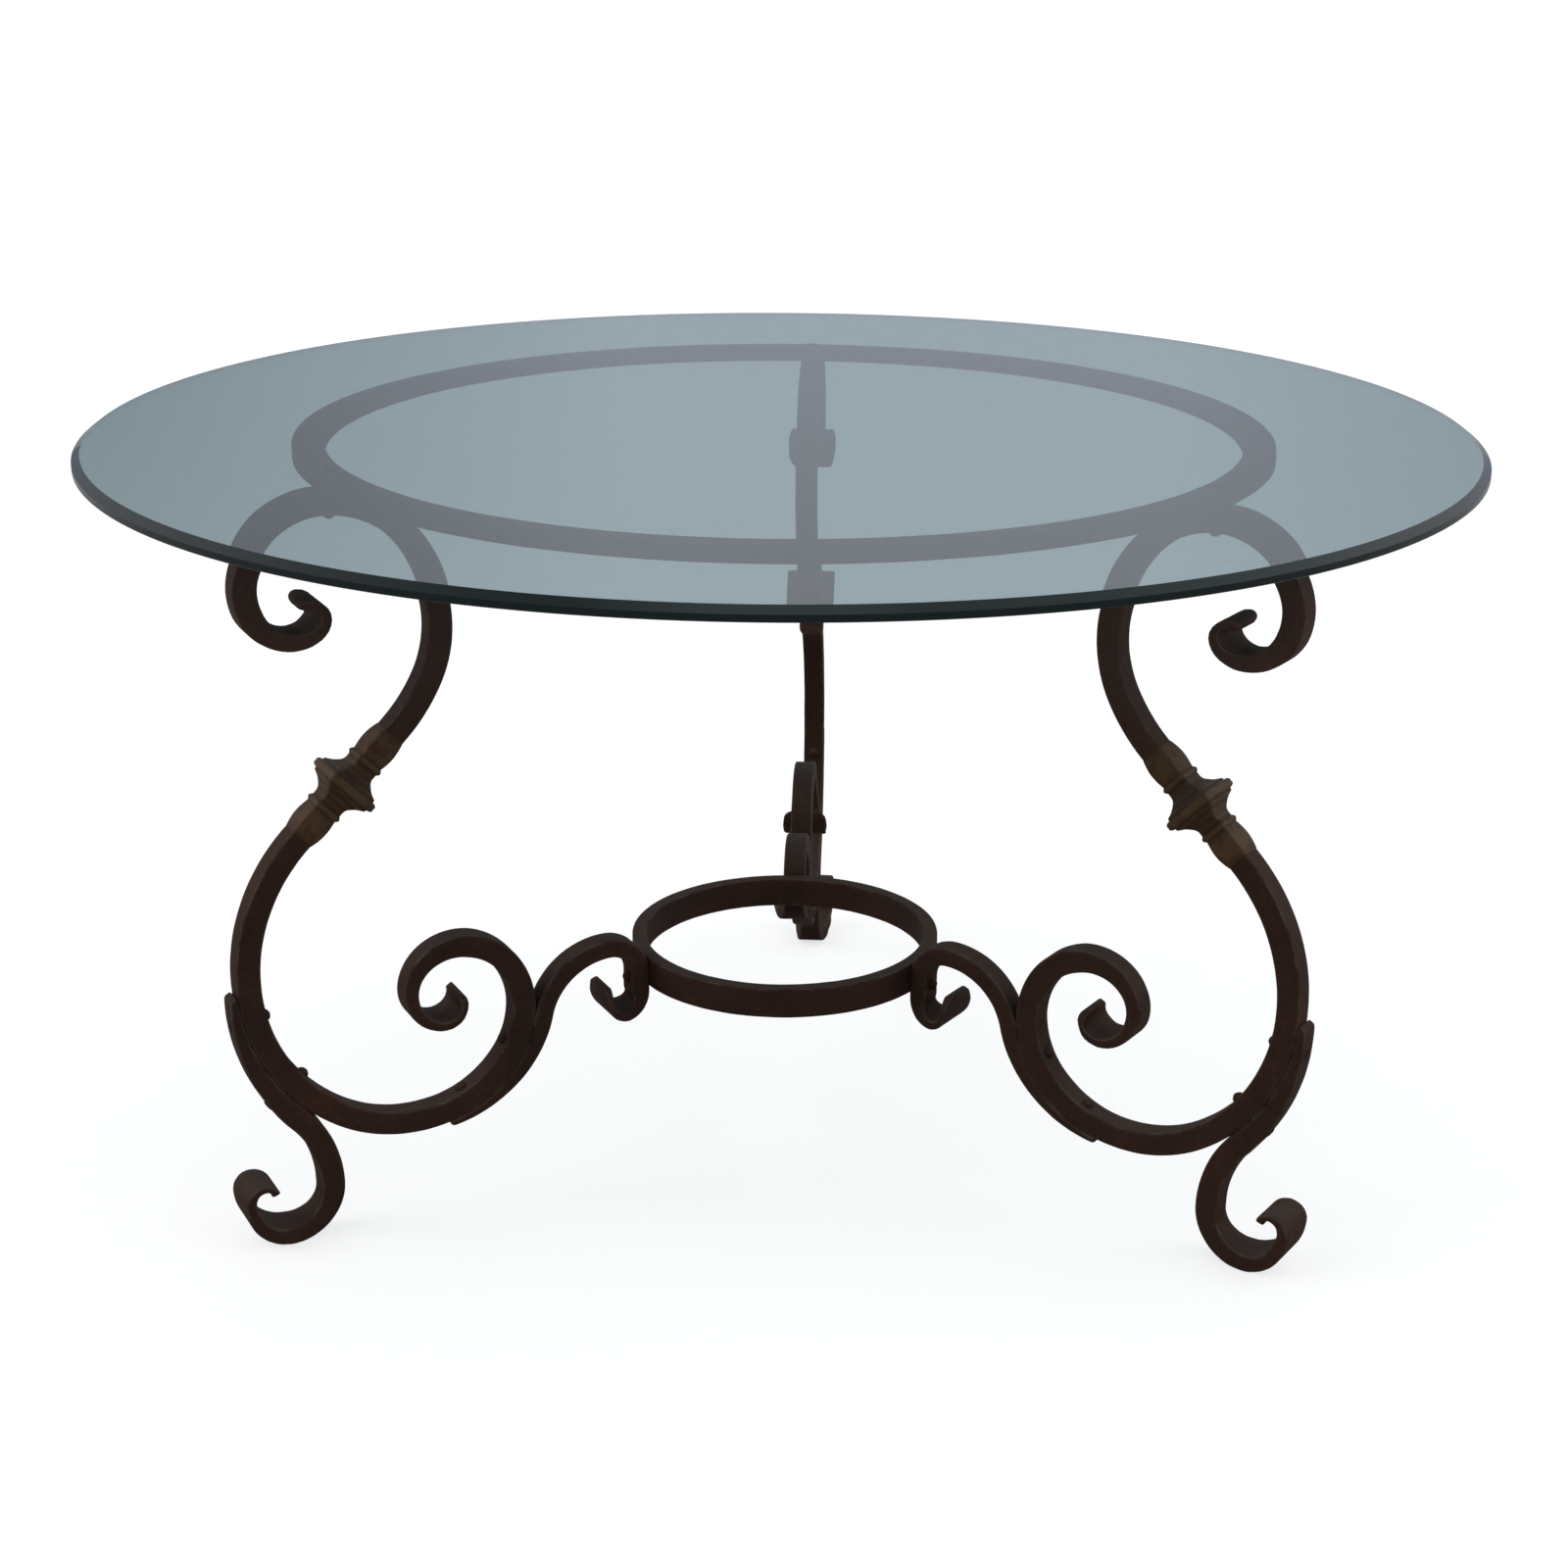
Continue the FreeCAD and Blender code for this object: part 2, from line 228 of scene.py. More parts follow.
def useMarks(tree, look):
    # hammer marks, rubbed arrises and dust with a finish's own values
    marks = useGroup(tree, hammerMarks, Blows=look["blows"], Grain=look["grain"], Pits=look["pits"])
    worn = useGroup(tree, rubbedArris, Amount=look["wear"], Breakup=look["wearPatches"])["Mask"]
    dusty = useGroup(tree, settledDust, Amount=look["dustAmount"])["Mask"]
    return marks, marks["Mottle"], worn, dusty


def addBump(tree, height, look):
    inputs = {"Height": height, "Strength": look["bump"], "Distance": look["depth"]}
    return addNode(tree, "ShaderNodeBump", inputs).outputs["Normal"]


ironLook = {
    "umber": (0.031, 0.0155, 0.0118, 1.0),
    "russet": (0.050, 0.0222, 0.0150, 1.0),
    "rust": (0.074, 0.0285, 0.0155, 1.0),
    "dust": (0.055, 0.045, 0.038, 1.0),
    # painted light: a lighter, greyer colour painted on the upper bars
    "paintedLight": (0.080, 0.047, 0.038, 1.0),
    "bright": (0.135, 0.098, 0.076, 1.0),
    "sheen": (1.0, 0.80, 0.68, 1.0),
    "specular": 0.12,
    "blows": 70.0, "grain": 900.0, "pits": 0.6,
    "wear": 0.95, "wearPatches": 40.0, "dustAmount": 0.6,
    "russetFrom": ((0.41, 0.0), (0.58, 1.0)),
    "rustFrom": ((0.57, 0.0), (0.68, 0.6)),
    # heights between the collars and the glass where that painted light is laid on
    "paintedLightHeights": ((0.47, 0.0), (0.58, 0.62), (0.68, 0.62), (0.74, 0.1)),
    "paintedLightMottle": 0.45,
    "rough": ((0.35, 0.56), (0.65, 0.76)),
    "wornSmooth": 0.2, "dustRough": 0.15, "wornMetal": 0.7,
    "bump": 0.55, "depth": 0.0012,
}


def makeIron():
    look = ironLook
    finish, tree, shader = newFinish("waxedIron")
    marks, mottle, worn, dusty = useMarks(tree, look)
    brown = addMix(tree, addRamp(tree, mottle, *look["russetFrom"]), look["umber"], look["russet"])
    brown = addMix(tree, addRamp(tree, mottle, *look["rustFrom"]), brown, look["rust"])
    # painted light: the bars are painted lighter and greyer by height between the collars and the glass,
    # standing in for the brighter light there
    paintedLight = addRamp(tree, splitVector(tree, objectPlace(tree))["Z"], *look["paintedLightHeights"])
    paintedLight = times(tree, paintedLight, plus(tree, mottle, look["paintedLightMottle"]))
    for mask, colour in ((paintedLight, "paintedLight"), (dusty, "dust"), (worn, "bright")):
        brown = addMix(tree, mask, brown, look[colour])
    rough = minus(tree, addRamp(tree, mottle, *look["rough"]), times(tree, worn, look["wornSmooth"]))
    feed(tree, shader, {
        "Base Color": brown,
        "Roughness": plus(tree, rough, times(tree, dusty, look["dustRough"])),
        "Metallic": times(tree, worn, look["wornMetal"]),
        "Specular IOR Level": look["specular"],
        "Specular Tint": look["sheen"],
        "Normal": addBump(tree, marks["Height"], look),
    })
    return finish


castLook = {
    "hollow": (0.036, 0.0175, 0.0090, 1.0),
    "skin": (0.100, 0.053, 0.025, 1.0),
    "gilt": (0.165, 0.100, 0.050, 1.0),
    "dust": (0.062, 0.050, 0.036, 1.0),
    "stain": (0.060, 0.0235, 0.0125, 1.0),
    "specular": 0.15,
    "blows": 190.0, "grain": 1500.0, "pits": 0.8,
    "wear": 0.8, "wearPatches": 90.0, "dustAmount": 0.35,
    "mottleShare": 0.9,
    "skinFrom": ((0.10, 0.0), (0.55, 1.0)),
    "giltFrom": ((0.72, 0.0), (1.1, 0.5)),
    "stainPatches": 55.0, "stainFrom": ((0.47, 0.0), (0.62, 0.75)),
    "rough": ((0.35, 0.42), (0.65, 0.62)),
    "plainWorn": 0.2, "wornMetal": 0.6,
    "bump": 0.5, "depth": 0.0007,
}


def makeCast():
    look = castLook
    finish, tree, shader = newFinish("agedCasting")
    marks, mottle, worn, dusty = useMarks(tree, look)
    # darker in the hollows, gilt on what stands proud
    proud = addNode(tree, "ShaderNodeAttribute", attribute_name="proud").outputs["Fac"]
    shade = plus(tree, proud, times(tree, minus(tree, mottle, 0.5), look["mottleShare"]))
    tone = addMix(tree, addRamp(tree, shade, *look["skinFrom"]), look["hollow"], look["skin"])
    patchy = addNoise(tree, objectPlace(tree), look["stainPatches"], 5.0, 0.6)["Fac"]
    stained = addRamp(tree, patchy, *look["stainFrom"])
    gilded = addRamp(tree, shade, *look["giltFrom"])
    for mask, colour in ((stained, "stain"), (gilded, "gilt"), (worn, "gilt"), (dusty, "dust")):
        tone = addMix(tree, mask, tone, look[colour])
    feed(tree, shader, {
        "Base Color": tone,
        "Roughness": addRamp(tree, mottle, *look["rough"]),
        "Metallic": times(tree, plus(tree, worn, look["plainWorn"]), look["wornMetal"]),
        "Specular IOR Level": look["specular"],
        "Normal": addBump(tree, marks["Height"], look),
    })
    return finish


glassLook = {
    "sheet": {"tint": (0.70, 0.80, 0.81, 1.0), "specular": 0.5, "sheen": (1.0, 1.0, 1.0, 1.0)},
    # painted shade: the edge is a darker copy of the sheet glass for the bevel and rim, with a teal tint
    # painted on their reflections
    "edge": {"tint": (0.006, 0.015, 0.016, 1.0), "specular": 0.17, "sheen": (0.70, 0.94, 1.0, 1.0)},
    "smears": 3.5, "smearRough": ((0.50, 0.0), (0.80, 0.035)), "ior": 1.5,
    "absorb": (0.30, 0.42, 0.45, 1.0), "density": 95.0, "shadow": 0.9,
}


def makeGlass(name, look):
    finish, tree, shader = newFinish(name)
    smear = addNoise(tree, objectPlace(tree), glassLook["smears"], 6.0, 0.7)["Fac"]
    # light passes through to the floor, so that the top casts a pale shadow
    rays = addNode(tree, "ShaderNodeLightPath").outputs["Is Shadow Ray"]
    feed(tree, shader, {
        "Base Color": look["tint"],
        "Roughness": addRamp(tree, smear, *glassLook["smearRough"]),
        "IOR": glassLook["ior"],
        "Specular IOR Level": look["specular"],
        "Specular Tint": look["sheen"],
        "Transmission Weight": 1.0,
        "Alpha": minus(tree, 1.0, times(tree, rays, glassLook["shadow"])),
    })
    depth = {"Color": glassLook["absorb"], "Density": glassLook["density"]}
    absorb = addNode(tree, "ShaderNodeVolumeAbsorption", depth).outputs["Volume"]
    tree.links.new(absorb, tree.nodes["Material Output"].inputs["Volume"])
    return finish


bumperLook = {
    "colour": (0.80, 0.83, 0.82, 1.0), "ior": 1.45, "clear": 0.85,
    "haze": 400.0, "hazeRough": ((0.35, 0.12), (0.7, 0.3)),
}


def makeBumper():
    finish, tree, shader = newFinish("clearBumper")
    haze = addNoise(tree, objectPlace(tree), bumperLook["haze"], 3.0)["Fac"]
    feed(tree, shader, {
        "Base Color": bumperLook["colour"],
        "Roughness": addRamp(tree, haze, *bumperLook["hazeRough"]),
        "IOR": bumperLook["ior"],
        "Transmission Weight": bumperLook["clear"],
    })
    return finish


waxedIron = makeIron()
agedCasting = makeCast()
clearBumper = makeBumper()
sheetGlass = makeGlass("sheetGlass", glassLook["sheet"])
# a darker copy of the glass for the bevel and rim: painted shade
shadedEdgeGlass = makeGlass("shadedEdgeGlass", glassLook["edge"])
print("finishes ready")


# paths of straight runs and arcs in the plane of a leg: x out from the middle, z up, heading in radians

def run(length):
    return (length, 0.0)


def bend(radius, turn):
    return (radius * math.radians(abs(turn)), math.copysign(1.0 / radius, turn))


def spiral(sizes):
    # shrinks step by step; tight draws the last few steps closer, the hook turns the very last one further
    count = sizes["plain"] + sizes["taper"]
    tightSteps, tightShare = sizes["tight"]
    moves = []
    for k in range(count):
        radius = sizes["scrollRadius"] * sizes["shrink"]**k
        if count - k <= tightSteps:
            radius *= tightShare
        hook = sizes["hook"] if k == count - 1 else 0.0
        moves.append(bend(radius, -sizes["step"] - hook))
    return moves


def onward(state, length, curve):
    x, z, heading = state
    if curve == 0.0:
        return (x + length * math.cos(heading), z + length * math.sin(heading), heading)
    later = heading + length * curve
    x += (math.sin(later) - math.sin(heading)) / curve
    z -= (math.cos(later) - math.cos(heading)) / curve
    return (x, z, later)


def walk(state, moves):
    path = []
    for length, curve in moves:
        path.append((state, length, curve))
        state = onward(state, length, curve)
    return path


def lengthOf(path):
    return sum(length for state, length, curve in path)


def spot(path, distance):
    for state, length, curve in path:
        if distance <= length:
            return onward(state, distance, curve)
        distance -= length
    return onward(*path[-1])


def turned(path, degrees):
    # distance at which the path has turned by an angle
    passed = 0.0
    for state, length, curve in path:
        step = math.degrees(length * abs(curve))
        if degrees < step:
            return passed + length * degrees / step
        degrees -= step
        passed += length
    return passed


def stretch(path, first, last):
    cut = []
    passed = 0.0
    for state, length, curve in path:
        low, high = max(first - passed, 0.0), min(last - passed, length)
        if high - low > 0.001:
            cut.append((onward(state, low, curve), high - low, curve))
        passed += length
    return cut


def aside(state, offset):
    x, z, heading = state
    return (x - offset * math.sin(heading), z + offset * math.cos(heading), heading)


def beside(path, offset):
    return [
        (aside(state, offset), length * (1.0 - offset * curve), curve / (1.0 - offset * curve))
        for state, length, curve in path
    ]


def blend(distance, table):
    for (d0, v0), (d1, v1) in zip(table, table[1:]):
        if distance <= d1:
            return v0 + (v1 - v0) * (distance - d0) / (d1 - d0)
    return table[-1][1]


def marks(path):
    return [lengthOf(path[:k]) for k in range(len(path) + 1)]


# a forged piece: a line of points with its own thickness and width, given its section in Geometry Nodes

forgeSizes = {
    "spacing": 4.5, "sides": 40, "hoop": 10.0, "cornerShare": 0.4, "thinArris": 0.42,
    "sway": 0.9, "swayScale": 16.0, "dents": 0.35, "dentScale": 75.0,
    "ragged": 9.0, "raggedScale": 85.0, "raggedFrom": 26.0, "raggedGain": 50.0,
    "scarfRound": 4.0, "scarfSteps": (0.0, 0.3, 0.8, 1.5, 2.4), "scarfEdge": 0.35, "scarfNip": 1.5,
    "tipSteps": (0.83, 0.67, 0.52, 0.39, 0.28, 0.18, 0.1, 0.04, 0.0), "tipLeast": 0.12,
    "lipReach": 18.0, "lipCurve": 1.5,
}


def addGeo(tree, kind, inputs=None, **settings):
    # a geometry node's first output
    return addNode(tree, "GeometryNode" + kind, inputs, **settings).outputs[0]


def readAttribute(tree, label, kind="FLOAT"):
    return addGeo(tree, "InputNamedAttribute", {"Name": label}, data_type=kind)


def makeForgeTree():
    sizes = forgeSizes
    tree, given, result = newGroup(
        "forgedSection", "GeometryNodeTree",
        [("Line", "Geometry", None), ("Arris", "Float", 0.002), ("Sides", "Int", 40),
         ("Sway", "Float", 0.0005), ("Dents", "Float", 0.0002), ("Ragged", "Float", 0.0),
         ("Seed", "Float", 0.0), ("Azimuth", "Float", 0.0), ("Finish", "Material", None)],
        [("Piece", "Geometry")],
    )

    def unevenness(scale):
        inputs = {"W": given["Seed"], "Scale": scale, "Detail": 2.0}
        noise = addNode(tree, "ShaderNodeTexNoise", inputs, noise_dimensions="4D").outputs[0]
        return minus(tree, noise, 0.5)

    here = addGeo(tree, "InputPosition")
    middle = {"Geometry": given["Line"], "Name": "centre", "Value": here}
    held = addGeo(tree, "StoreNamedAttribute", middle, data_type="FLOAT_VECTOR")
    line = addGeo(tree, "MeshToCurve", {0: held})
    hoop = addGeo(tree, "CurvePrimitiveCircle", {"Resolution": given["Sides"], "Radius": sizes["hoop"] * mm})
    swept = addGeo(tree, "CurveToMesh", {"Curve": line, "Profile Curve": hoop, "Fill Caps": True})
    directions = ("centre", "left", "across")
    centre, left, across = (readAttribute(tree, label, "FLOAT_VECTOR") for label in directions)
    thick = readAttribute(tree, "thick")
    wide = readAttribute(tree, "wide")
    out = addVectorMath(tree, "NORMALIZE", addVectorMath(tree, "SUBTRACT", here, centre))
    edge = addMath(tree, "MINIMUM", given["Arris"], times(tree, thick, sizes["thinArris"]))
    flat = 1.0 - sizes["cornerShare"]
    # the edges of a flared tip are left ragged by the hammer
    flared = times(tree, minus(tree, wide, sizes["raggedFrom"] * mm), sizes["raggedGain"], clamp=True)
    torn = times(tree, unevenness(sizes["raggedScale"]), times(tree, flared, given["Ragged"]))
    ways = []
    for way, size in ((left, thick), (across, plus(tree, wide, torn))):
        # the hoop becomes a square, then a square with round corners of a set radius
        lean = addVectorMath(tree, "DOT_PRODUCT", out, way)
        reach = times(tree, addMath(tree, "ABSOLUTE", lean), math.sqrt(2.0))
        reach = addMath(tree, "MINIMUM", reach, 1.0)
        share = addMath(tree, "DIVIDE", addMath(tree, "MINIMUM", reach, flat), flat)
        past = addMath(tree, "MAXIMUM", minus(tree, reach, flat), 0.0)
        corner = addMath(tree, "DIVIDE", past, sizes["cornerShare"])
        half = minus(tree, times(tree, size, 0.5), edge)
        ways.append((way, addMath(tree, "SIGN", lean), share, corner, half))
    first, second = ways[0][3], ways[1][3]
    diagonal = addMath(tree, "SQRT", plus(tree, times(tree, first, first), times(tree, second, second)))
    diagonal = addMath(tree, "MAXIMUM", diagonal, 1.0)
    place = centre
    for way, sign, share, corner, half in ways:
        rounded = times(tree, addMath(tree, "DIVIDE", corner, diagonal), edge)
        offset = times(tree, plus(tree, times(tree, share, half), rounded), sign)
        place = addVectorMath(tree, "ADD", place, addVectorMath(tree, "SCALE", way, offset))
    arris = {"Geometry": swept, "Name": "arris", "Value": times(tree, first, second)}
    kept = addGeo(tree, "StoreNamedAttribute", arris, data_type="FLOAT")
    shaped = addGeo(tree, "SetPosition", {"Geometry": kept, "Position": place})
    # hand work: a slow sway of the faces and shallow dents
    sway = times(tree, unevenness(sizes["swayScale"]), given["Sway"])
    dents = times(tree, unevenness(sizes["dentScale"]), given["Dents"])
    push = addVectorMath(tree, "SCALE", addGeo(tree, "InputNormal"), plus(tree, sway, dents))
    worked = addGeo(tree, "SetPosition", {"Geometry": shaped, "Offset": push})
    smooth = addGeo(tree, "SetShadeSmooth", {"Geometry": worked})
    spin = joinVector(tree, Z=given["Azimuth"])
    put = addGeo(tree, "Transform", {"Geometry": smooth, "Rotation": spin})
    whole = addGeo(tree, "RealizeInstances", {"Geometry": put})
    done = addGeo(tree, "SetMaterial", {"Geometry": whole, "Material": given["Finish"]})
    tree.links.new(done, result["Piece"])
    return tree


forgedSection = makeForgeTree()


def turnOutward(work):
    if work.calc_volume(signed=True) < 0.0:
        bmesh.ops.reverse_faces(work, faces=work.faces)


def plainPiece(name, source, tree, values, helpers):
    # the tree's result as a plain mesh at the origin
    modifier = source.modifiers.new("nodes", "NODES")
    modifier.node_group = tree
    for item in tree.interface.items_tree:
        if item.in_out == "INPUT" and item.name in values:
            modifier[item.identifier] = values[item.name]
    depsgraph = bpy.context.evaluated_depsgraph_get()
    shown = source.evaluated_get(depsgraph)
    mesh = bpy.data.meshes.new_from_object(shown, preserve_all_data_layers=True, depsgraph=depsgraph)
    source.modifiers.remove(modifier)
    bpy.data.objects.remove(source)
    for helper in helpers:
        if helper in mesh.attributes:
            mesh.attributes.remove(mesh.attributes[helper])
    work = bmesh.new()
    work.from_mesh(mesh)
    turnOutward(work)
    work.to_mesh(mesh)
    work.free()
    mesh.name = name
    return addObject(name, mesh)


def linePoint(state, thick, wide, offset=0.0, proud=0.5):
    x, z, heading = aside(state, offset)
    left = (-math.sin(heading), 0.0, math.cos(heading))
    return {
        "place": (x, 0.0, z), "left": left, "across": (0.0, 1.0, 0.0),
        "thick": thick, "wide": wide, "proud": proud,
    }


def storeVectors(mesh, label, vectors):
    layer = mesh.attributes.new(label, "FLOAT_VECTOR", "POINT")
    layer.data.foreach_set("vector", [part for vector in vectors for part in vector])


def storeNumbers(mesh, label, numbers):
    layer = mesh.attributes.new(label, "FLOAT", "POINT")
    layer.data.foreach_set("value", numbers)


def lineObject(points, closed=False):
    # millimetres in, metres out
    edges = [(k, k + 1) for k in range(len(points) - 1)]
    if closed:
        edges.append((len(points) - 1, 0))
    mesh = bpy.data.meshes.new("line")
    mesh.from_pydata([Vector(point["place"]) * mm for point in points], edges, [])
    for label in ("left", "across"):
        storeVectors(mesh, label, [point[label] for point in points])
    for label, unit in (("thick", mm), ("wide", mm), ("proud", 1.0)):
        storeNumbers(mesh, label, [point[label] * unit for point in points])
    return addObject("line", mesh)


def forge(name, points, sizes, seed, azimuth=0.0, closed=False, finish=waxedIron):
    # a piece without hand work of its own takes that of all forged bars
    sway, dents, ragged = (sizes.get(key, forgeSizes[key]) * mm for key in ("sway", "dents", "ragged"))
    values = {
        "Arris": sizes["arris"] * mm, "Sides": forgeSizes["sides"], "Sway": sway, "Dents": dents,
        "Ragged": ragged, "Seed": seed, "Azimuth": math.radians(azimuth), "Finish": finish,
    }
    helpers = ("centre", "left", "across", "thick", "wide")
    piece = plainPiece(name, lineObject(points, closed), forgedSection, values, helpers)
    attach(piece, "base")
    return piece


legBar = {
    "bar": 24.0, "arris": 2.0, "lapGap": 0.02, "seedStep": 3.0,
    "tipThick": 5.0, "tipWide": 46.0, "flare": 115.0,
}
legLower = {
    "slope": 43.2, "straight": 66.0, "bellyRadius": 187.0, "bellyTurn": 104.0,
    "scrollRadius": 142.0, "shrink": 0.83, "plain": 5, "taper": 8, "step": 40.0,
    "lip": 4.0, "corner": 9.0, "hook": 0.0, "tight": (0, 1.0),
}
legUpper = {
    "shoulderRadius": 184.0, "shoulderTurn": 18.0, "archRadius": 123.0, "archTurn": 72.0,
    "scrollRadius": 106.0, "shrink": 0.81, "plain": 4, "taper": 7, "step": 40.0,
    "lip": 10.0, "corner": 9.0, "hook": 35.0, "tight": (4, 0.7),
}
footSizes = {
    "lap": (51.0, 92.0), "scarf": 8.0, "neck": 125.0, "sole": 52.0, "toe": 52.0, "curl": (18.7, 168.0),
    "soleThick": 19.0, "toeThick": 11.0, "toeWide": 52.0, "lip": 4.5, "corner": 9.0, "arris": 2.6,
}
stretcherSizes = {
    "lap": (150.0, 217.0), "scarf": 6.0, "thick": 20.0, "rise": 86.0, "bend": 42.0, "drop": 22.0,
    "curl": (25.8, 178.0), "flick": (45.0, -20.0), "tipWide": 56.0, "lip": 5.0, "corner": 20.0, "arris": 2.6,
}


def barPoints(path, share, thickness, flare, sizes, scarfed=False):
    # share puts the middle of the bar beside the path; a flare is (start, end, width) along it
    f = forgeSizes
    length = lengthOf(path)
    corner = sizes["corner"]
    steps = max(int(length / f["spacing"]), 2)
    distances = [k * (length - corner) / steps for k in range(steps + 1)]
    distances += [length - corner * part for part in f["tipSteps"]]
    if scarfed:
        distances = list(f["scarfSteps"]) + distances[1:]
    first, last = spot(path, flare[0]), spot(path, flare[1])
    span = math.dist(first[:2], last[:2])
    way = ((last[0] - first[0]) / span, (last[1] - first[1]) / span)
    points = []
    for distance in distances:
        state = spot(path, distance)
        thick = blend(distance, thickness)
        wide = legBar["bar"]
        left = length - distance
        if scarfed and distance < f["scarfRound"]:
            short = 1.0 - distance / f["scarfRound"]
            thick *= f["scarfEdge"] + (1.0 - f["scarfEdge"]) * math.sqrt(1.0 - short**2)
            wide -= f["scarfNip"] * short**2
        if distance > flare[0]:
            along = (state[0] - first[0]) * way[0] + (state[1] - first[1]) * way[1]
            wide += (flare[2] - legBar["bar"]) * max(along / span, 0.0)
        if left < corner:
            wide -= 2.0 * (corner - math.sqrt(corner**2 - (corner - left)**2))
        if left < f["lipReach"]:
            thick += sizes["lip"] * (1.0 - left / f["lipReach"])**f["lipCurve"]
        if left < thick / 2.0:
            thick *= math.sqrt(max(1.0 - (1.0 - 2.0 * left / thick)**2, f["tipLeast"]))
        points.append(linePoint(state, thick, wide, share * thick))
    return points


# the collar's box in the frame gives a leg's place
collarLow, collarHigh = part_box("back_collar")
collarReach = (collarLow.y + collarHigh.y) / 2.0 / mm
collarHeight = (collarLow.z + collarHigh.z) / 2.0 / mm
down = math.radians(-legLower["slope"])
lower = walk((collarReach, collarHeight, down), [
    run(legLower["straight"]), bend(legLower["bellyRadius"], -legLower["bellyTurn"]), *spiral(legLower),
])
upper = walk((collarReach, collarHeight, down + math.pi), [
    run(legLower["straight"]), bend(legUpper["shoulderRadius"], -legUpper["shoulderTurn"]),
    bend(legUpper["archRadius"], -legUpper["archTurn"]), *spiral(legUpper),
])
seat = beside(lower, legBar["bar"] / 2.0 + legBar["lapGap"])


def lapThen(sizes, moves):
    first, last = (turned(seat, turn) for turn in sizes["lap"])
    lap = stretch(seat, first, last)
    return lap + walk(onward(*lap[-1]), moves)


foot = lapThen(footSizes, [
    bend(footSizes["neck"], legLower["slope"] + footSizes["lap"][1] - 90.0), bend(footSizes["sole"], 90.0),
    bend(footSizes["toe"], 90.0), bend(*footSizes["curl"]),
])
stretcher = lapThen(stretcherSizes, [
    bend(stretcherSizes["rise"], legLower["slope"] + stretcherSizes["lap"][1] - 180.0),
    bend(stretcherSizes["bend"], 90.0), run(stretcherSizes["drop"]),
    bend(*stretcherSizes["curl"]), bend(*stretcherSizes["flick"]),
])


def press(piece):
    # feet filed flat on the floor, arches filed flat under the ring
    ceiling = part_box("top_ring")[0].z
    for vertex in piece.data.vertices:
        vertex.co.z = min(max(vertex.co.z, 0.0), ceiling)


def halfScroll(path, sizes):
    # half of a leg, from the collar to its hammered tip
    ends = marks(path)
    bar = legBar["bar"]
    thickness = ((0.0, bar), (ends[-1 - sizes["taper"]], bar), (ends[-1], legBar["tipThick"]))
    return barPoints(path, 0.0, thickness, (ends[-1] - legBar["flare"], ends[-1], legBar["tipWide"]), sizes)


def footPoints():
    ends = marks(foot)
    bar = legBar["bar"]
    thickness = (
        (0.0, footSizes["scarf"]), (ends[-5], bar), (ends[-4], bar), (ends[-3], footSizes["soleThick"]),
        (ends[-2], footSizes["toeThick"]), (ends[-1], legBar["tipThick"]),
    )
    return barPoints(foot, 0.5, thickness, (ends[-4], ends[-2], footSizes["toeWide"]), footSizes, True)


def stretcherPoints():
    ends = marks(stretcher)
    full, tip = stretcherSizes["thick"], legBar["tipThick"]
    thickness = (
        (0.0, stretcherSizes["scarf"]), (ends[-6], full), (ends[-3], full), (ends[-2], tip), (ends[-1], tip),
    )
    flare = (ends[-3], ends[-2], stretcherSizes["tipWide"])
    return barPoints(stretcher, 0.5, thickness, flare, stretcherSizes, True)


def makeLegs():
    scroll = halfScroll(upper, legUpper)[:0:-1] + halfScroll(lower, legLower)
    bars = {
        "leg": (scroll, legBar), "foot": (footPoints(), footSizes),
        "stretcher": (stretcherPoints(), stretcherSizes),
    }
    for k, (leg, azimuth) in enumerate(legAngles.items()):
        # one seed for all the bars of a leg, so that lapped faces sway alike
        for part, (points, sizes) in bars.items():
            piece = forge(leg + part.capitalize() + "Scroll", points, sizes, legBar["seedStep"] * k, azimuth)
            press(piece)
            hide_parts(leg + "_" + part + "_scroll")


makeLegs()
print("legs forged")


collarSizes = {
    "length": 130.0, "neck": 26.4, "belly": 2.8, "bead": 3.6, "beadLength": 7.0, "neckLength": 4.5,
    "endSize": 24.8, "flange": 56.0, "crown": 0.5, "lip": 4.8, "lipRound": 3.4,
    "step": 49.0, "stepTaper": 1.0, "stepLength": 2.5, "flareLength": 14.0, "flareHollow": 5.0,
    "ridge": 0.8, "ridges": 2.0, "steps": 8,
    "arris": 2.4, "sway": 0.8, "dents": 0.5, "ragged": 0.0, "seed": 40.0,
}
# how proud each form of the collar stands, for its colour
collarProud = {
    "crown": 0.7, "flange": 0.85, "lipFall": 0.55, "step": 0.35, "flare": 0.2, "ridge": 0.3, "ridgeFade": 0.4,
    "neck": 0.1, "beadFoot": 0.15, "bead": 0.6, "sleeve": 0.25, "belly": 0.4,
}


